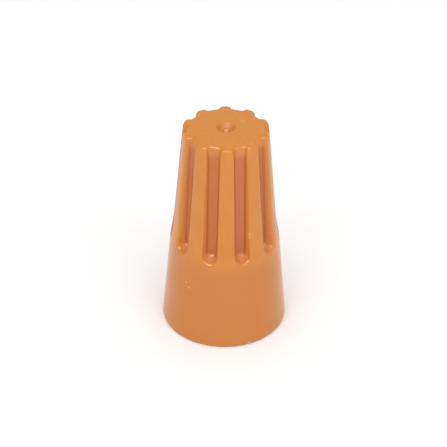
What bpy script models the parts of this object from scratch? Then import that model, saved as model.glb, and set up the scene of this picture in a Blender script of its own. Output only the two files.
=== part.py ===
"""Twist-on wire connector: a fluted plastic shell with a tapered square-wire spring pressed into it.

Metres, +Z up. The connector stands on its open mouth: the origin is the centre of the mouth's rim,
and the closed tip points up. A rib faces -Y.
"""

import math

import bmesh
import bpy
from mathutils import Vector

MM = 0.001

# Driving dimensions.
MOUTH_RADIUS = 5.85 * MM
HEIGHT = 20.3 * MM
TIP_RADIUS = 3.89 * MM
FLUTES = 10
WIRE_SIDE = 0.75 * MM

# Shell, outside.
RIM_ROUND = 0.25 * MM
TIP_ROUND = 0.35 * MM
FLUTE_END = 9.0 * MM  # height of a flute's closed lower end
FLUTE_FLOOR_WIDTH = 1.06 * MM
FLUTE_WALL_DRAFT = math.radians(8)
FLUTE_END_ROUND = 0.42 * MM
FLUTE_FLOOR_ROUND = 0.3 * MM
FLOOR_RADIUS_AT_TIP = 3.25 * MM
FLOOR_RADIUS_AT_END = 3.95 * MM
RIB_EDGE_ROUND = 0.15 * MM
RIB_EDGE_ANGLE = math.radians(55)  # only the flutes' edges are sharper than this

# Gate mark: a dished recess in the middle of the tip face with the gate's stub in it.
DISH_RADIUS = 0.85 * MM
DISH_DEPTH = 0.42 * MM
DISH_OUTLINE = ((1, 0), (0.72, 0.6), (0.45, 1))  # shares of the dish's radius and depth
STUB_RADIUS = 0.26 * MM
STUB_HEIGHT = 0.15 * MM
STUB_OUTLINE = ((1, 0), (0.7, 0.6), (0.35, 1), (0, 1))  # shares of the stub's radius and height

# Shell, inside: skirt, funnel, retaining bead and spring pocket, from the mouth up.
SKIRT_MOUTH_RADIUS = 4.95 * MM
SKIRT_TOP_RADIUS = 4.15 * MM
SKIRT_TOP = 7.9 * MM
BEAD_RADIUS = 3.05 * MM
BEAD_WIDTH = 0.15 * MM
BEAD_TOP = 9.0 * MM
POCKET_MOUTH = 9.3 * MM
POCKET_MOUTH_RADIUS = 3.34 * MM
POCKET_END = 18.4 * MM
POCKET_END_RADIUS = 2.2 * MM
POCKET_DOME = ((0.7, 0.25 * MM), (0, 0.35 * MM))  # share of the end's radius, rise above the end

# Spring: right-hand helix, the wire's edges facing in and out so that they cut a thread.
SPRING_CLEARANCE = 0.05 * MM
SPRING_TURNS = 7.25
TURN_GAP = 0.06 * MM
POINTS_PER_TURN = 32

SHELL_STEPS = 60
CUTTER_REACH = 2.2 * MM  # from a flute's floor out, past the shell
CUTTER_OVERRUN = 1.5 * MM  # past the tip
MERGE = 1e-8


def clear_scene():
    for thing in list(bpy.data.objects):
        bpy.data.objects.remove(thing)


def material(name, colour, roughness, metallic):
    made = bpy.data.materials.new(name)
    made.use_nodes = True
    shader = made.node_tree.nodes["Principled BSDF"]
    shader.inputs["Base Color"].default_value = (*colour, 1)
    shader.inputs["Roughness"].default_value = roughness
    shader.inputs["Metallic"].default_value = metallic
    return made


def add_object(name, data, finish=None):
    made = bpy.data.objects.new(name, data)
    bpy.context.scene.collection.objects.link(made)
    if finish:
        data.materials.append(finish)
    return made


def mesh_from(name, bm):
    """The mesh of bm, its normals facing out, shaded smooth apart from its sharp edges."""
    bmesh.ops.recalc_face_normals(bm, faces=bm.faces)
    mesh = bpy.data.meshes.new(name)
    bm.to_mesh(mesh)
    bm.free()
    mesh.shade_smooth()
    mesh.set_sharp_from_angle(angle=math.radians(30))
    return mesh


def arc(centre, radius, start, end, segments):
    """Points (r, z) of an arc, with its angles in degrees from +r towards +z."""
    angles = [math.radians(start + (end - start) * i / segments) for i in range(segments + 1)]
    return [(centre[0] + radius * math.cos(a), centre[1] + radius * math.sin(a)) for a in angles]


def bevel_edges(bm, edges, width, segments):
    bmesh.ops.bevel(bm, geom=edges, offset=width, offset_type="OFFSET", segments=segments,
                    profile=0.5, affect="EDGES", clamp_overlap=False)


def outer_radius(height):
    """The cone's radius at a height."""
    return MOUTH_RADIUS + (TIP_RADIUS - MOUTH_RADIUS) * height / HEIGHT


def floor_radius(height):
    """The radius of a flute's floor at a height."""
    share = (height - FLUTE_END) / (HEIGHT - FLUTE_END)
    return FLOOR_RADIUS_AT_END + (FLOOR_RADIUS_AT_TIP - FLOOR_RADIUS_AT_END) * share


def pocket_radius(height):
    """The spring pocket's radius at a height."""
    share = (height - POCKET_MOUTH) / (POCKET_END - POCKET_MOUTH)
    return POCKET_MOUTH_RADIUS + (POCKET_END_RADIUS - POCKET_MOUTH_RADIUS) * share


def outside_profile():
    """The outer half-section, from the rim's flat up the cone and in to the axis."""
    rim = arc((MOUTH_RADIUS - RIM_ROUND, RIM_ROUND), RIM_ROUND, -90, -5, 3)
    tip_edge_radius = outer_radius(HEIGHT - TIP_ROUND)
    tip = arc((tip_edge_radius - TIP_ROUND, HEIGHT - TIP_ROUND), TIP_ROUND, 5, 90, 4)
    dish = [(r * DISH_RADIUS, HEIGHT - depth * DISH_DEPTH) for r, depth in DISH_OUTLINE]
    stub = [(r * STUB_RADIUS, HEIGHT - DISH_DEPTH + rise * STUB_HEIGHT) for r, rise in STUB_OUTLINE]
    return rim + tip + dish + stub


def inside_profile():
    """The inner half-section, from the axis down the pocket and the skirt to the rim's flat."""
    dome = [(r * POCKET_END_RADIUS, POCKET_END + rise) for r, rise in reversed(POCKET_DOME)]
    walls = [
        (POCKET_END_RADIUS, POCKET_END),
        (POCKET_MOUTH_RADIUS, POCKET_MOUTH),
        (BEAD_RADIUS, BEAD_TOP),
        (BEAD_RADIUS, BEAD_TOP - BEAD_WIDTH),
        (SKIRT_TOP_RADIUS, SKIRT_TOP),
    ]
    lip = arc((SKIRT_MOUTH_RADIUS + RIM_ROUND, RIM_ROUND), RIM_ROUND, 180, 270, 3)
    return dome + walls + lip


def turned(name, profile):
    """A solid of revolution about Z from a closed half-section that meets the axis twice."""
    bm = bmesh.new()
    points = [bm.verts.new((r, 0, z)) for r, z in profile]
    edges = [bm.edges.new(pair) for pair in zip(points, points[1:] + points[:1])]
    on_axis = [edge for edge in edges if all(vert.co.x == 0 for vert in edge.verts)]
    bmesh.ops.delete(bm, geom=on_axis, context="EDGES_FACES")
    bmesh.ops.spin(bm, geom=points + list(bm.edges), axis=(0, 0, 1), cent=(0, 0, 0),
                   angle=math.tau, steps=SHELL_STEPS, use_merge=True)
    bmesh.ops.remove_doubles(bm, verts=bm.verts, dist=MERGE)
    return mesh_from(name, bm)


def flute_cutter():
    """A mesh that cuts the flute facing +X: a drafted slot with a round lower end and rounded floor edges."""
    bm = bmesh.new()
    bmesh.ops.create_cube(bm, size=2)
    flare = CUTTER_REACH * math.tan(FLUTE_WALL_DRAFT)
    for vert in bm.verts:
        outer, side, low = vert.co.x > 0, vert.co.y, vert.co.z < 0
        height = FLUTE_END if low else HEIGHT + CUTTER_OVERRUN
        vert.co = (
            floor_radius(height) + (CUTTER_REACH if outer else 0),
            side * (FLUTE_FLOOR_WIDTH / 2 + (flare if outer else 0)),
            height - (flare if outer and low else 0),
        )

    end_corners = [e for e in bm.edges if all(v.co.z < FLUTE_END + MERGE for v in e.verts)
                   and abs(e.verts[0].co.x - e.verts[1].co.x) > CUTTER_REACH / 2]
    bevel_edges(bm, end_corners, FLUTE_END_ROUND, 4)

    def on_floor(vert):
        return vert.co.x < floor_radius(vert.co.z) + MERGE

    def at_top(vert):
        return vert.co.z > HEIGHT

    floor_edges = [e for e in bm.edges if all(map(on_floor, e.verts)) and not all(map(at_top, e.verts))]
    bevel_edges(bm, floor_edges, FLUTE_FLOOR_ROUND, 3)
    return mesh_from("flute_cutter", bm)


def shell(finish):
    """The moulded shell: the turned body with its flutes cut and their edges rounded."""
    body = add_object("shell", turned("shell", outside_profile() + inside_profile()), finish)
    cutters = bpy.data.collections.new("flute_cutters")
    bpy.context.scene.collection.children.link(cutters)
    cutter_mesh = flute_cutter()
    for i in range(FLUTES):
        cutter = bpy.data.objects.new(f"flute_cutter_{i}", cutter_mesh)
        cutter.rotation_euler.z = math.tau * (i + 0.5) / FLUTES - math.pi / 2
        cutter.hide_render = True
        cutter.display_type = "WIRE"
        cutters.objects.link(cutter)
    flutes = body.modifiers.new("flutes", "BOOLEAN")
    flutes.operation = "DIFFERENCE"
    flutes.operand_type = "COLLECTION"
    flutes.collection = cutters
    edges = body.modifiers.new("rib_edges", "BEVEL")
    edges.width = RIB_EDGE_ROUND
    edges.segments = 2
    edges.use_clamp_overlap = False
    edges.limit_method = "ANGLE"
    edges.angle_limit = RIB_EDGE_ANGLE
    return body


def spring_points():
    """The wire's centre line: a conical helix, right-handed, from its wide mouth end up to its small end."""
    pitch = math.sqrt(2) * WIRE_SIDE + TURN_GAP
    corner = WIRE_SIDE / math.sqrt(2)
    first = POCKET_MOUTH + corner
    points = []
    for i in range(round(SPRING_TURNS * POINTS_PER_TURN) + 1):
        turn = i / POINTS_PER_TURN
        height = first + pitch * turn
        radius = pocket_radius(height) - corner - SPRING_CLEARANCE
        angle = math.tau * turn
        points.append(Vector((radius * math.cos(angle), radius * math.sin(angle), height)))
    return points


def spring(finish):
    """The spring: square wire on edge, wound along the centre line."""
    half = WIRE_SIDE / math.sqrt(2)
    section = bpy.data.curves.new("wire_section", "CURVE")
    outline = section.splines.new("POLY")
    outline.points.add(3)
    for point, (x, y) in zip(outline.points, ((half, 0), (0, -half), (-half, 0), (0, half))):
        point.co = (x, y, 0, 1)
    outline.use_cyclic_u = True
    section_object = add_object("wire_section", section)
    section_object.hide_render = True
    section_object.display_type = "WIRE"

    wire = bpy.data.curves.new("spring", "CURVE")
    wire.dimensions = "3D"
    wire.twist_mode = "Z_UP"
    wire.bevel_mode = "OBJECT"
    wire.bevel_object = section_object
    wire.use_fill_caps = True
    line = wire.splines.new("POLY")
    centres = spring_points()
    line.points.add(len(centres) - 1)
    for point, centre in zip(line.points, centres):
        point.co = (*centre, 1)
    return add_object("spring", wire, finish)


def main():
    clear_scene()
    shell(material("orange_plastic", (0.60, 0.21, 0.03), 0.3, 0))
    spring(material("zinc_plated_steel", (0.62, 0.62, 0.60), 0.3, 1))


main()
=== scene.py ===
"""The looks of a twist-on wire connector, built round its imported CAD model.

Metres, +Z up. The connector stands on its open mouth, the closed tip points up and a rib faces -Y.
"""

import math

import bmesh
import bpy
import numpy as np
from mathutils import Matrix, Vector
from mathutils.geometry import delaunay_2d_cdt


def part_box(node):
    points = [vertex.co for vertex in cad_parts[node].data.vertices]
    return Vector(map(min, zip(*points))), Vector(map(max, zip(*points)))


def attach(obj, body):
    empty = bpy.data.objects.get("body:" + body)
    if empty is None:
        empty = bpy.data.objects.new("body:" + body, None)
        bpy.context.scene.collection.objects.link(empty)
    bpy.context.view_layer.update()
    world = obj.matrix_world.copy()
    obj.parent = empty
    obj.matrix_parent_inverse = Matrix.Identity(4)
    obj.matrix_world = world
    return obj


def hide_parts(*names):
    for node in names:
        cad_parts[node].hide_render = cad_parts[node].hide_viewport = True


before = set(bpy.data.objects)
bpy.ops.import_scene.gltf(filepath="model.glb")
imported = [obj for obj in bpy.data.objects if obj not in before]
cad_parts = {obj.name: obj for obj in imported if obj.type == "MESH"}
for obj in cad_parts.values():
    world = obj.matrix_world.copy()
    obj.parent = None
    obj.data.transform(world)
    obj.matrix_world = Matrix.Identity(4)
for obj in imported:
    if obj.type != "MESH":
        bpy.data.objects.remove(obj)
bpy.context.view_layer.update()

MM = 0.001
SHELL_LOW, SHELL_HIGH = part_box("shell")
MIDDLE = (SHELL_LOW + SHELL_HIGH) / 2

# Shell, outside.
HEIGHT = SHELL_HIGH.z
MOUTH_RADIUS = (SHELL_HIGH.x - SHELL_LOW.x) / 2
SKIRT_TAPER = 0.091  # loss of radius for each unit of height
SHOULDER = (8.9 * MM, 11.1 * MM)  # where the skirt narrows to the ribs
TIP_RADIUS = 3.9 * MM
RIB_TAPER = 0.09
RIM_ROUND = 0.25 * MM
TIP_ROUND = 0.3 * MM
FLUTES = 10
RIB_ANGLE = math.pi / FLUTES  # from a flute's middle to a rib's middle
FLUTE_END = 9.0 * MM  # height of a flute's lower end, on its floor
FLUTE_END_ROUND = 0.7 * MM
FLOOR_WIDTH = 1.0 * MM
FLOOR_AT_TIP = 3.42 * MM
FLOOR_AT_END = 3.95 * MM
TIP_REACH = 1.2 * MM  # the flutes' sections change over this much below the tip

# Each stretch of a flute as (draft of its wall, rounding of its edge, rounding at its floor).
ALONG = np.array((math.radians(11), 0.33 * MM, 0.33 * MM))
AT_TIP = np.array((math.radians(21), 0.45 * MM, 0.25 * MM))
AT_END = np.array((math.radians(9), 0.36 * MM, 0.53 * MM))

# Tip face: a dish with the gate's stub in it, as corners (radius, height, rounding).
DISH = (
    (1.1 * MM, HEIGHT, 0),
    (0.87 * MM, HEIGHT, 0.08 * MM),
    (0.55 * MM, HEIGHT - 0.45 * MM, 0.2 * MM),
    (0.3 * MM, HEIGHT - 0.43 * MM, 0.03 * MM),
    (0.22 * MM, HEIGHT - 0.29 * MM, 0.07 * MM),
    (0, HEIGHT - 0.26 * MM, 0),
)

# Shell, inside: mouth, funnel, bead and spring pocket, as corners (radius, height, rounding).
POCKET_MOUTH = (3.34 * MM, 9.3 * MM)
POCKET_END = (2.2 * MM, 18.4 * MM)
INSIDE = (
    (4.95 * MM, 0, RIM_ROUND),
    (4.15 * MM, 7.9 * MM, 0.6 * MM),
    (3.05 * MM, 8.85 * MM, 0.1 * MM),
    (3.05 * MM, 9.0 * MM, 0.04 * MM),
    (*POCKET_MOUTH, 0.05 * MM),
    (*POCKET_END, 0.25 * MM),
    (1.54 * MM, 18.65 * MM, 0.5 * MM),
    (0, 18.75 * MM, 0),
)

# Spring: square wire wound on edge in a conical right-hand helix.
WIRE_SIDE = 0.75 * MM
WIRE_EDGE_ROUND = 0.06 * MM
WIRE_HALF_DIAGONAL = WIRE_SIDE / math.sqrt(2)
TURN_GAP = 0.06 * MM
SPRING_TURNS = 7.25
SPRING_PITCH = 2 * WIRE_HALF_DIAGONAL + TURN_GAP
SPRING_CLEARANCE = 0.05 * MM

# Mesh density.
SIDE_STEPS = 28
CORNER_STEPS = 12
DOWN_STEPS = CORNER_STEPS // 2  # lines round a flute's corner that start lower and lower on the rib
END_STEPS = 4
ACROSS_STEPS = CORNER_STEPS + END_STEPS - DOWN_STEPS  # lines that start along the top row of the skirt
SKIRT_COLUMNS = 2 * FLUTES * ACROSS_STEPS
SKIRT_MARGIN = 1.0 * MM  # from a flute's lower end down to the top row of the skirt
CREST_STEPS = 5
ROUND_STEPS = 5
WALL_STEPS = 2
FLOOR_STEPS = 3
TIP_STEPS = 6
DISH_COLUMNS = 96
FACE_MARGIN = 0.01 * MM
LONGEST_STEP = 0.5 * MM
WIRE_STEPS_PER_TURN = 72
WIRE_EDGE_STEPS = 3
WIRE_SHARP_ANGLE = math.radians(40)
WELD = 2e-5  # millimetres
FILL_TOLERANCE = 1e-6  # millimetres
INSIDE_ONLY = 1  # how delaunay_2d_cdt is asked for only the area within the edges

# Colours of the shell; some stand for painted shade and light, as marked.
ORANGE_DEEP = (0.59, 0.2, 0.028, 1)
ORANGE_BRIGHT = (0.62, 0.217, 0.032, 1)
TIP_FACE_ORANGE = (0.605, 0.2, 0.008, 1)
FLOW_ORANGE = (0.66, 0.24, 0.012, 1)
# painted shade: the skirt is darker towards the bottom
SKIRT_SHADE_ORANGE = (0.53, 0.175, 0.03, 1)
# painted light: the flutes' walls made paler and brighter
WALL_LIGHT_ORANGE = (0.69, 0.275, 0.082, 1)
# painted shade: the flutes' floors darker and browner
FLOOR_SHADE_BROWN = (0.54, 0.155, 0.034, 1)
# painted shade: a darker line in the corners beside the flutes' floors
CORNER_SHADE_BROWN = (0.46, 0.12, 0.022, 1)
# gate stub paler: stress whitening, and partly a painted highlight on its top
STUB_PALE_GLINT = (0.8, 0.45, 0.22, 1)
# pale scuff marks, and the painted highlight streak on the rim
SCUFF_AND_GLINT_PALE = (0.78, 0.42, 0.2, 1)

# Where the shell's colours change: soft steps (start, end), in millimetres.
SKIRT_TOP = (7.0, 9.5)
WALL_START = (8.0, 8.4)
FLOOR_START = (8.8, 9.6)
FLUTE_TOP = (19.0, 19.9)
DISH_START = (19.5, 19.6)
DISH_EDGE = (0.8, 0.95)  # from the axis
STUB_EDGE = (0.18, 0.28)  # from the axis
WALL_DEPTH = (0.12, 0.3)  # below the ribs' cone
FLOOR_EDGE = (0.08, 0.3)  # above the floor
CORNER_RISE = (0.04, 0.12)  # above the floor
CORNER_FALL = (0.18, 0.34)  # above the floor

# Handling marks on a rib's edge, the tip face and the skirt, and a painted highlight streak on the rim, as
# (place, reach) in millimetres.
SCUFFS_AND_RIM_GLINT = (
    ((2.15, -4.17, 11.5), 0.5),
    ((1.5, 1.0, 20.3), 0.4),
    # painted highlight: a pale streak on the rounded rim
    ((2.2, -5.42, 0.2), 0.35),
    ((-3.3, -4.15, 5.8), 0.22),
    ((-3.6, -3.9, 6.2), 0.18),
)
DENTS = (
    ((2.0, -4.25, 11.3), 0.2),
    ((2.2, -4.15, 11.8), 0.15),
    ((-3.42, -4.06, 5.9), 0.35),
    ((-3.7, -3.8, 6.1), 0.2),
    ((1.7, 1.1, 20.3), 0.2),
)

# Colours of the spring and the floor.
ZINC_DARK = (0.5, 0.5, 0.49, 1)
ZINC_BRIGHT = (0.68, 0.68, 0.67, 1)
ZINC_BLOOM = (0.62, 0.58, 0.45, 1)
PAPER_DARK = (0.945, 0.945, 0.945, 1)
PAPER_BRIGHT = (0.955, 0.955, 0.955, 1)

NOISE_MIDDLE = (0.3, 0.7)  # most of a noise's values lie in here

# Stage. Angles are in degrees.
FLOOR_SIZE = 4
WORLD_STRENGTH = 0.82
CAMERA_AZIMUTH = -1.7
CAMERA_ELEVATION = 34.67
CAMERA_ROLL = 0.7
CAMERA_DISTANCE = 22.85 * MOUTH_RADIUS
CAMERA_LENS = 116.95
CAMERA_SHIFT = (-0.0033, -0.0032)
CAMERA_CLIP_START = 1 * MM
LIGHT_DISTANCE = 0.4

# Lights as (name, direction from the connector's middle, width, height, watts, seen in gloss only).
LIGHTS = (
    ("top", (0, -0.5, 1), 0.3, 0.3, 0.45, False),
    ("left", (-0.7, -1, 0.9), 0.2, 0.2, 0.15, False),
    ("right", (0.9, -1, 0.8), 0.2, 0.2, 0.15, False),
    ("left_glint", (-0.9, -1, 1.1), 0.12, 0.12, 0.4, True),
    ("strip_glint", (-0.15, -1, 0.9), 0.5, 0.08, 0.9, True),
)


# Shell mesh.


def smooth_rise(value, start, end):
    """0 below start and 1 above end, with a smooth rise between them."""
    share = np.clip((value - start) / (end - start), 0, 1)
    return share**2 * (3 - 2 * share)


def cone_radius(height):
    """The radius of the skirt, or higher up of the ribs, at a height."""
    skirt = MOUTH_RADIUS - SKIRT_TAPER * height
    ribs = TIP_RADIUS + RIB_TAPER * (HEIGHT - height)
    return skirt + (ribs - skirt) * smooth_rise(height, *SHOULDER)


def floor_distance(height):
    """How far a flute's flat floor lies from the axis."""
    share = (height - FLUTE_END) / (HEIGHT - FLUTE_END)
    return FLOOR_AT_END + (FLOOR_AT_TIP - FLOOR_AT_END) * share


def flute_depth(height):
    return cone_radius(height) - floor_distance(height)


def side_form(height):
    """The form of a flute's side at a height."""
    return ALONG + (AT_TIP - ALONG) * smooth_rise(height, HEIGHT - TIP_REACH, HEIGHT)


def half_width(height):
    """Half a flute's width where it meets the cone."""
    return FLOOR_WIDTH / 2 + flute_depth(height) * math.tan(side_form(height)[0])


def groove_section(depth, form, shrink):
    """A flute's section from edge to floor, as rows of (inset from the edge, share of the depth)."""
    draft, edge_round, floor_round = form - np.array((0, shrink, -shrink))
    turn = math.pi / 2 - draft
    angles = np.linspace(0, turn, ROUND_STEPS + 1)
    edge_inset = edge_round * (np.sin(angles) - math.tan(turn / 2))
    edge = np.c_[edge_inset, edge_round * (1 - np.cos(angles))]
    foot_top = depth - floor_round * (1 - math.cos(turn))
    foot_inset = foot_top * math.tan(draft) + floor_round * (math.sin(turn) - np.sin(angles[::-1]))
    foot = np.c_[foot_inset, depth - floor_round * (1 - np.cos(angles[::-1]))]
    shares = np.linspace(0, 1, WALL_STEPS + 1)[1:-1, None]
    wall = edge[-1] + (foot[0] - edge[-1]) * shares
    section = np.vstack([edge, wall, foot])
    section[:, 1] /= depth
    return section


def flute_line(edge, inward, rib_angle, rib_height, middle_height, form, shrink=0):
    """A line of points from a rib over its crest, down a flute's wall and to the flute's middle.

    X points out through the flute's middle and Y across it. The line starts at rib_angle and rib_height.
    edge is where it meets the flute's edge and inward is its way in from there, both as (y, z).
    shrink moves the whole line inwards.
    """
    section = groove_section(flute_depth(middle_height), form, shrink)
    groove = np.array(edge) + (section[:, :1] - shrink) * np.array(inward)
    start_y, start_z = groove[0]
    shares = np.linspace(0, 1, CREST_STEPS + 1)[:-1]
    start_angle = math.asin(start_y / (cone_radius(start_z) - shrink))
    angles = rib_angle + (start_angle - rib_angle) * shares
    heights = rib_height + (start_z - rib_height) * shares
    radii = cone_radius(heights) - shrink
    crest = np.c_[radii * np.cos(angles), radii * np.sin(angles), heights]
    shares = np.linspace(0, 1, FLOOR_STEPS + 1)[1:, None]
    flat = groove[-1] + (np.array((0, middle_height)) - groove[-1]) * shares
    across, up = np.vstack([groove, flat]).T
    sunk = np.concatenate([section[:, 1], np.ones(FLOOR_STEPS)])
    surface = np.sqrt((cone_radius(up) - shrink) ** 2 - across**2)
    cut = np.c_[surface + (floor_distance(up) - shrink - surface) * sunk, across, up]
    return np.vstack([crest, cut])


def level_line(height, shrink=0):
    """The line of points across half a rib and half a flute at one height."""
    edge = (half_width(height), height)
    return flute_line(edge, (-1, 0), RIB_ANGLE, height, height, side_form(height), shrink)


def half_flute():
    """Lines of points down half a flute's side, round its lower corner and along its lower end."""
    depth = flute_depth(FLUTE_END)
    edge_end = FLUTE_END - depth * math.tan(AT_END[0])
    corner_drop = FLUTE_END_ROUND + depth * (math.tan(AT_END[0]) - math.tan(ALONG[0]))
    corner_height = edge_end + corner_drop
    corner_y = half_width(corner_height) - FLUTE_END_ROUND
    foot_height = edge_end - SKIRT_MARGIN
    lines = [level_line(h) for h in np.linspace(HEIGHT - TIP_ROUND, corner_height, SIDE_STEPS + 1)]
    for i in range(1, CORNER_STEPS + END_STEPS + 1):
        corner_share = min(i / CORNER_STEPS, 1)
        angle = math.pi / 2 * corner_share
        end_share = max(0, i - CORNER_STEPS) / END_STEPS
        down_share = min(i / DOWN_STEPS, 1)
        across_share = max(0, i - DOWN_STEPS) / ACROSS_STEPS
        edge = (
            corner_y * (1 - end_share) + FLUTE_END_ROUND * math.cos(angle),
            corner_height - corner_drop * math.sin(angle),
        )
        inward = (-math.cos(angle), math.sin(angle))
        rib_height = corner_height + (foot_height - corner_height) * down_share
        rib_angle = RIB_ANGLE * (1 - across_share)
        form = ALONG + (AT_END - ALONG) * corner_share
        lines.append(flute_line(edge, inward, rib_angle, rib_height, corner_height, form))
    return np.array(lines)


def turned_about_z(points, angle):
    cosine, sine = math.cos(angle), math.sin(angle)
    x, y = points[..., 0], points[..., 1]
    turned = points.copy()
    turned[..., 0] = cosine * x - sine * y
    turned[..., 1] = sine * x + cosine * y
    return turned


def flute_angle(i):
    return math.tau * (i + 0.5) / FLUTES - math.pi / 2


def outline(height, shrink):
    """The ring of points round the fluted part at a height, moved inwards."""
    half = level_line(height, shrink)
    sector = np.vstack([half * (1, -1, 1), half[-2:0:-1]])
    return np.vstack([turned_about_z(sector, flute_angle(i)) for i in range(FLUTES)])


def rounded_path(corners):
    """Points (r, z) along straight runs between corners (r, z, rounding), with each corner rounded."""
    points = [np.array(corners[0][:2])]
    for before, corner, after in zip(corners, corners[1:], corners[2:]):
        here = np.array(corner[:2])
        back = np.array(before[:2]) - here
        on = np.array(after[:2]) - here
        back, on = back / np.linalg.norm(back), on / np.linalg.norm(on)
        half_angle = math.acos(float(np.clip(back @ on, -1, 1))) / 2
        centre = here + (back + on) / np.linalg.norm(back + on) * corner[2] / math.sin(half_angle)
        reach = corner[2] / math.tan(half_angle)
        start, end = here + back * reach - centre, here + on * reach - centre
        sweep = math.pi - 2 * half_angle
        for share in np.linspace(0, 1, ROUND_STEPS + 1):
            from_start, from_end = math.sin((1 - share) * sweep), math.sin(share * sweep)
            points.append(centre + (start * from_start + end * from_end) / math.sin(sweep))
    points.append(np.array(corners[-1][:2]))
    path = [points[0]]
    for point in points[1:]:
        start = path[-1]
        steps = math.ceil(float(np.linalg.norm(point - start)) / LONGEST_STEP)
        path += [start + (point - start) * i / steps for i in range(1, steps + 1)]
    return np.array(path)


def turned_rings(path, columns):
    """Rings of points round Z, one for each point (r, z) of a path."""
    angles = flute_angle(0) - RIB_ANGLE + math.tau * np.arange(columns) / columns
    across, along, ones = np.cos(angles), np.sin(angles), np.ones(columns)
    return np.array([np.c_[r * across, r * along, z * ones] for r, z in path])


def tip_rings():
    """Rings over the tip's rounded edge, and a last one level with the face to keep it flat."""
    rings = []
    for turn in np.linspace(0, math.pi / 2, TIP_STEPS + 1):
        rings.append(outline(HEIGHT - TIP_ROUND * (1 - math.sin(turn)), TIP_ROUND * (1 - math.cos(turn))))
    rings.append(outline(HEIGHT, TIP_ROUND + FACE_MARGIN))
    return rings


def add_grid(bm, rows, closed):
    """Faces between rows of points; returns the edges of the first and the last row."""
    verts = [[bm.verts.new(p / MM) for p in row] for row in rows]
    columns = len(rows[0])
    pairs = [(i, (i + 1) % columns) for i in range(columns if closed else columns - 1)]
    for lower, upper in zip(verts, verts[1:]):
        for i, j in pairs:
            bm.faces.new((lower[i], lower[j], upper[j], upper[i]))
    return [[bm.edges.get((row[i], row[j])) for i, j in pairs] for row in (verts[0], verts[-1])]


def fill_level(bm, rim, hole):
    """Triangles over a level surface between the edges of its rim and the edges of a round hole in it."""
    edges = hole + rim
    verts = list(dict.fromkeys(vert for edge in edges for vert in edge.verts))
    places = {vert: i for i, vert in enumerate(verts)}
    pairs = [[places[vert] for vert in edge.verts] for edge in edges]
    filled = delaunay_2d_cdt([vert.co.xy for vert in verts], pairs, [], INSIDE_ONLY, FILL_TOLERANCE)
    triangles, sources = filled[2], filled[3]
    for triangle in triangles:
        corners = [sources[i][0] for i in triangle]
        over_hole = max(corners) < len(hole)
        if not over_hole:
            bm.faces.new([verts[i] for i in corners])


def smooth_mesh(name, bm):
    """A smooth-shaded mesh in metres from bm, which is in millimetres."""
    bmesh.ops.scale(bm, vec=(MM, MM, MM), verts=bm.verts)
    bmesh.ops.recalc_face_normals(bm, faces=bm.faces)
    mesh = bpy.data.meshes.new(name)
    bm.to_mesh(mesh)
    bm.free()
    mesh.shade_smooth()
    return mesh


def shell_mesh():
    """The shell as one closed surface: the fluted sides, the tip with its dish, the skirt and the inside."""
    bm = bmesh.new()
    half = half_flute()
    for i in range(FLUTES):
        add_grid(bm, turned_about_z(half, flute_angle(i)), closed=False)
        add_grid(bm, turned_about_z(half * (1, -1, 1), flute_angle(i)), closed=False)
    face_edges = add_grid(bm, tip_rings(), closed=True)[1]
    dish_edges = add_grid(bm, turned_rings(rounded_path(DISH), DISH_COLUMNS), closed=True)[0]
    fill_level(bm, face_edges, dish_edges)
    foot_height = half[-1, 0, 2]
    wall = ((cone_radius(foot_height), foot_height, 0), (cone_radius(0), 0, RIM_ROUND), *INSIDE)
    add_grid(bm, turned_rings(rounded_path(wall), SKIRT_COLUMNS), closed=True)
    bmesh.ops.remove_doubles(bm, verts=bm.verts, dist=WELD)
    return smooth_mesh("moulded_shell", bm)


# Spring mesh.


def pocket_radius(height):
    """The spring pocket's radius at a height."""
    share = (height - POCKET_MOUTH[1]) / (POCKET_END[1] - POCKET_MOUTH[1])
    return POCKET_MOUTH[0] + (POCKET_END[0] - POCKET_MOUTH[0]) * share


def wire_section():
    """The wire's square section with rounded edges, one edge facing out, as rows of (out, up)."""
    reach = WIRE_HALF_DIAGONAL - WIRE_EDGE_ROUND * math.sqrt(2)
    points = []
    for corner in range(4):
        side = math.pi / 2 * corner
        for i in range(WIRE_EDGE_STEPS + 1):
            angle = side + math.pi / 2 * (i / WIRE_EDGE_STEPS - 0.5)
            points.append((
                reach * math.cos(side) + WIRE_EDGE_ROUND * math.cos(angle),
                reach * math.sin(side) + WIRE_EDGE_ROUND * math.sin(angle),
            ))
    return points


def spring_mesh():
    """The wire wound up its conical helix, from the pocket's mouth to its small end."""
    section = wire_section()
    bm = bmesh.new()
    rows = []
    for i in range(round(SPRING_TURNS * WIRE_STEPS_PER_TURN) + 1):
        turns = i / WIRE_STEPS_PER_TURN
        height = POCKET_MOUTH[1] + WIRE_HALF_DIAGONAL + SPRING_PITCH * turns
        radius = pocket_radius(height) - WIRE_HALF_DIAGONAL - SPRING_CLEARANCE
        angle = math.tau * turns
        out = Vector((math.cos(angle), math.sin(angle), 0))
        forward = Vector((-out.y, out.x, 0)) * radius * math.tau + Vector((0, 0, SPRING_PITCH))
        up = out.cross(forward).normalized()
        centre = out * radius + Vector((0, 0, height))
        rows.append([bm.verts.new((centre + out * a + up * b) / MM) for a, b in section])
    for lower, upper in zip(rows, rows[1:]):
        for i in range(len(section)):
            j = (i + 1) % len(section)
            bm.faces.new((lower[i], lower[j], upper[j], upper[i]))
    bm.faces.new(rows[0])
    bm.faces.new(rows[-1])
    mesh = smooth_mesh("wire_spring", bm)
    mesh.set_sharp_from_angle(angle=WIRE_SHARP_ANGLE)
    return mesh


def add_piece(name, mesh, material, node):
    """A visible piece that stands for a CAD node and moves with the connector's one body."""
    piece = bpy.data.objects.new(name, mesh)
    bpy.context.scene.collection.objects.link(piece)
    mesh.materials.append(material)
    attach(piece, "root")
    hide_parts(node)


# Materials. Lengths in their nodes are millimetres.


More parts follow.
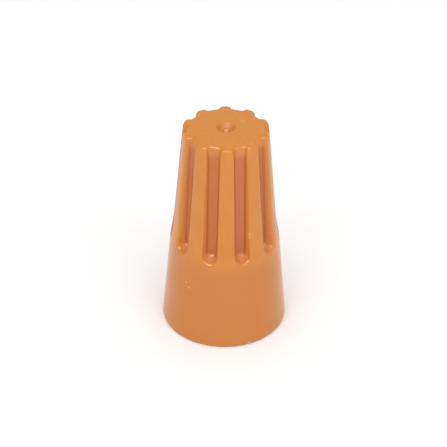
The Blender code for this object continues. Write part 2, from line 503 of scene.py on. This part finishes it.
class Finish:
    """A material, with short ways to add nodes to it."""

    def __init__(self, name):
        self.material = bpy.data.materials.new(name)
        self.material.use_nodes = True
        self.tree = self.material.node_tree
        self.shader = self.tree.nodes["Principled BSDF"].inputs
        self.place = self.vector("SCALE", self.add("TexCoord", output="Object"), scale=1 / MM)

    def add(self, kind, *values, output=0, **settings):
        node = self.tree.nodes.new("ShaderNode" + kind)
        for name, value in settings.items():
            setattr(node, name, value)
        for socket, value in zip(node.inputs, values):
            self.set(socket, value)
        return node.outputs[output]

    def set(self, socket, value):
        if isinstance(value, bpy.types.NodeSocket):
            self.tree.links.new(value, socket)
        elif value is not None:
            socket.default_value = value

    def math(self, operation, *values):
        return self.add("Math", *values, operation=operation)

    def times(self, value, factor):
        return self.math("MULTIPLY", value, factor)

    def total(self, *values):
        result = values[0]
        for value in values[1:]:
            result = self.math("ADD", result, value)
        return result

    def vector(self, operation, *values, scale=None, output=0):
        made = self.add("VectorMath", *values, operation=operation, output=output)
        if scale is not None:
            self.set(made.node.inputs["Scale"], scale)
        return made

    def round_axis(self):
        """The place's distance from the connector's axis, its angle round it and its height."""
        x, y, z = self.add("SeparateXYZ", self.place).node.outputs
        radius = self.vector("LENGTH", self.add("CombineXYZ", x, y, 0), output="Value")
        return radius, self.math("ARCTAN2", y, x), z

    def ramp(self, value, start, end, low=0.0, high=1.0):
        """low below start and high above end, with a smooth rise between them."""
        return self.add("MapRange", value, start, end, low, high, interpolation_type="SMOOTHSTEP")

    def fall(self, value, start, end):
        """1 below start and 0 above end, with a smooth fall between them."""
        return self.ramp(value, start, end, 1, 0)

    def band(self, value, rise, fall):
        """1 from the end of a rise (start, end) to the start of a fall (start, end), and 0 outside them."""
        return self.times(self.ramp(value, *rise), self.fall(value, *fall))

    def noise(self, place, scale, detail=2.0):
        return self.add("TexNoise", place, None, scale, detail, output="Fac")

    def spread(self, noise, low=0.0, high=1.0):
        """A noise's usual values spread from low to high."""
        return self.ramp(noise, *NOISE_MIDDLE, low, high)

    def spots(self, marks):
        """A soft spot at each mark (place, reach), 1 in its middle."""
        spots = []
        for place, reach in marks:
            distance = self.vector("DISTANCE", self.place, place, output="Value")
            spots.append(self.fall(distance, 0, reach))
        return self.total(*spots)

    def mix(self, share, first, second):
        node = self.add("Mix", share, data_type="RGBA").node
        colours = [socket for socket in node.inputs if socket.type == "RGBA"]
        self.set(colours[0], first)
        self.set(colours[1], second)
        return next(socket for socket in node.outputs if socket.type == "RGBA")

    def raise_by(self, *layers):
        """Bump from layers of (mask, height in millimetres)."""
        bump = self.add("Bump", 1, MM, output="Normal")
        height = self.total(*(self.times(mask, rise) for mask, rise in layers))
        self.set(bump.node.inputs["Height"], height)
        self.set(self.shader["Normal"], bump)


def flute_masks(finish, radius, z):
    """Masks of painted shade over the flutes' floors and the corners at the floors' sides, and of painted
    light on the flutes' walls.
    """
    floor_taper = (FLOOR_AT_END - FLOOR_AT_TIP) / (HEIGHT - FLUTE_END)
    floor = finish.math("MULTIPLY_ADD", z, -floor_taper, (FLOOR_AT_TIP + floor_taper * HEIGHT) / MM)
    above_floor = finish.math("SUBTRACT", radius, floor)
    ribs = finish.math("MULTIPLY_ADD", z, -RIB_TAPER, (TIP_RADIUS + RIB_TAPER * HEIGHT) / MM)
    below_ribs = finish.math("SUBTRACT", ribs, radius)
    along_flute = finish.band(z, FLOOR_START, FLUTE_TOP)
    # painted shade over the flutes' floors
    floor_shade = finish.times(finish.fall(above_floor, *FLOOR_EDGE), along_flute)
    # painted shade in the corners at the floors' sides
    corner_shade = finish.times(finish.band(above_floor, CORNER_RISE, CORNER_FALL), along_flute)
    # painted light on the flutes' walls
    wall_light = finish.times(finish.ramp(below_ribs, *WALL_DEPTH), finish.band(z, WALL_START, FLUTE_TOP))
    return floor_shade, corner_shade, wall_light


def orange_plastic():
    """Glossy polypropylene with flow lines round the gate and scuffed spots; browner on the flutes' floors
    and darker in their corners and on the skirt as painted shade, paler on the flutes' walls as painted
    light, with painted highlights on the gate's stub and in a streak on the rim.
    """
    finish = Finish("orange_plastic")
    radius, angle, z = finish.round_axis()
    floor_shade, corner_shade, wall_light = flute_masks(finish, radius, z)
    # painted shade over the skirt, below SKIRT_TOP
    skirt_shade = finish.fall(z, *SKIRT_TOP)
    on_face = finish.ramp(z, HEIGHT / MM - 0.1, HEIGHT / MM - 0.02)
    up_in_dish = finish.ramp(z, *DISH_START)
    in_dish = finish.times(finish.fall(radius, *DISH_EDGE), up_in_dish)
    # stress whitening and a painted highlight on the gate's stub
    stub_glint = finish.times(finish.fall(radius, *STUB_EDGE), up_in_dish)

    spokes = finish.add("CombineXYZ", finish.times(angle, 7.0), finish.times(radius, 1.2), 0)
    flow = finish.times(finish.ramp(finish.noise(spokes, 1.0, 3.0), 0.35, 0.65), on_face)
    # scuffed spots, and the painted highlight streak on the rim
    scuffs_and_glint = finish.times(finish.spots(SCUFFS_AND_RIM_GLINT), finish.ramp(finish.noise(finish.place, 6.0), 0.42, 0.6))
    dents = finish.spots(DENTS)
    grain = finish.noise(finish.place, 7.0, 3.0)
    waves = finish.noise(finish.place, 0.9)
    mottle = finish.spread(finish.noise(finish.place, 0.5, 3.0))

    # Tints: painted shade on the skirt, the flutes' floors and their corners, painted light on the walls,
    # painted highlights on the stub and the rim.
    tints = (
        (on_face, 0.8, TIP_FACE_ORANGE),
        (flow, 0.4, FLOW_ORANGE),
        (skirt_shade, 0.8, SKIRT_SHADE_ORANGE),
        (wall_light, 1.0, WALL_LIGHT_ORANGE),
        (floor_shade, 1.0, FLOOR_SHADE_BROWN),
        (corner_shade, 0.7, CORNER_SHADE_BROWN),
        (stub_glint, 0.6, STUB_PALE_GLINT),
        (scuffs_and_glint, 0.8, SCUFF_AND_GLINT_PALE),
    )
    colour = finish.mix(mottle, ORANGE_DEEP, ORANGE_BRIGHT)
    for mask, strength, tint in tints:
        colour = finish.mix(finish.times(mask, strength), colour, tint)
    finish.set(finish.shader["Base Color"], colour)

    roughness = finish.total(
        finish.spread(grain, 0.17, 0.24),
        finish.times(scuffs_and_glint, 0.25),
        finish.times(in_dish, 0.25),
    )
    finish.set(finish.shader["Roughness"], roughness)
    finish.raise_by((grain, 0.0012), (waves, 0.02), (flow, 0.005), (scuffs_and_glint, 0.01), (dents, -0.04))
    finish.shader["IOR"].default_value = 1.47
    finish.shader["Subsurface Weight"].default_value = 0.08
    finish.shader["Subsurface Radius"].default_value = (1.0, 0.35, 0.1)
    finish.shader["Subsurface Scale"].default_value = 0.4 * MM
    return finish.material


def zinc_plated_steel():
    """Drawn wire under bright zinc, with lines along the wire and a faint yellow bloom."""
    finish = Finish("zinc_plated_steel")
    radius, angle, z = finish.round_axis()
    climb = finish.times(angle, SPRING_PITCH / MM / math.tau)
    along_wire = finish.add(
        "CombineXYZ",
        finish.times(radius, 16.0),
        finish.times(finish.math("SUBTRACT", z, climb), 16.0),
        finish.times(angle, 0.8),
    )
    lines = finish.noise(along_wire, 1.0, 3.0)
    bloom = finish.ramp(finish.noise(finish.place, 0.8, 3.0), 0.5, 0.75, 0, 0.35)
    colour = finish.mix(finish.spread(lines), ZINC_DARK, ZINC_BRIGHT)
    finish.set(finish.shader["Base Color"], finish.mix(bloom, colour, ZINC_BLOOM))
    finish.set(finish.shader["Roughness"], finish.spread(lines, 0.24, 0.38))
    finish.shader["Metallic"].default_value = 1
    finish.raise_by((lines, 0.004))
    return finish.material


def floor_paper():
    """Matt white paper with a faint tooth."""
    finish = Finish("floor_paper")
    tooth = finish.noise(finish.place, 1.5)
    finish.set(finish.shader["Base Color"], finish.mix(tooth, PAPER_DARK, PAPER_BRIGHT))
    finish.shader["Roughness"].default_value = 0.9
    return finish.material


# Stage.


def add_floor():
    bpy.ops.mesh.primitive_plane_add(size=FLOOR_SIZE)
    floor = bpy.context.object
    floor.name = "floor"
    floor.data.materials.append(floor_paper())


def add_light(name, direction, width, height, power, gloss_only):
    """A rectangular soft light in a direction from the connector's middle, facing it."""
    data = bpy.data.lights.new(name, "AREA")
    data.shape = "RECTANGLE"
    data.size = width
    data.size_y = height
    data.energy = power
    light = bpy.data.objects.new(name, data)
    back = Vector(direction).normalized()
    light.location = MIDDLE + back * LIGHT_DISTANCE
    light.rotation_euler = back.to_track_quat("Z", "Y").to_euler()
    light.visible_diffuse = not gloss_only
    bpy.context.scene.collection.objects.link(light)


def add_camera():
    """The camera looks down at the connector from the front and a little to the left."""
    azimuth, elevation, roll = map(math.radians, (CAMERA_AZIMUTH, CAMERA_ELEVATION, CAMERA_ROLL))
    back = Vector((
        math.sin(azimuth) * math.cos(elevation),
        -math.cos(azimuth) * math.cos(elevation),
        math.sin(elevation),
    ))
    data = bpy.data.cameras.new("camera")
    data.lens = CAMERA_LENS
    data.clip_start = CAMERA_CLIP_START
    data.shift_x, data.shift_y = CAMERA_SHIFT
    camera = bpy.data.objects.new("camera", data)
    camera.location = MIDDLE + back * CAMERA_DISTANCE
    upright = back.to_track_quat("Z", "Y").to_matrix()
    camera.rotation_euler = (upright @ Matrix.Rotation(roll, 3, "Z")).to_euler()
    bpy.context.scene.collection.objects.link(camera)
    bpy.context.scene.camera = camera


def add_world():
    """Even white light from all round."""
    world = bpy.data.worlds.new("studio")
    world.use_nodes = True
    background = world.node_tree.nodes["Background"].inputs
    background["Color"].default_value = (1, 1, 1, 1)
    background["Strength"].default_value = WORLD_STRENGTH
    bpy.context.scene.world = world


bpy.context.scene.view_settings.view_transform = "Standard"
add_camera()
add_world()
add_floor()
for light in LIGHTS:
    add_light(*light)

add_piece("moulded_shell", shell_mesh(), orange_plastic(), "shell")
add_piece("wire_spring", spring_mesh(), zinc_plated_steel(), "spring")
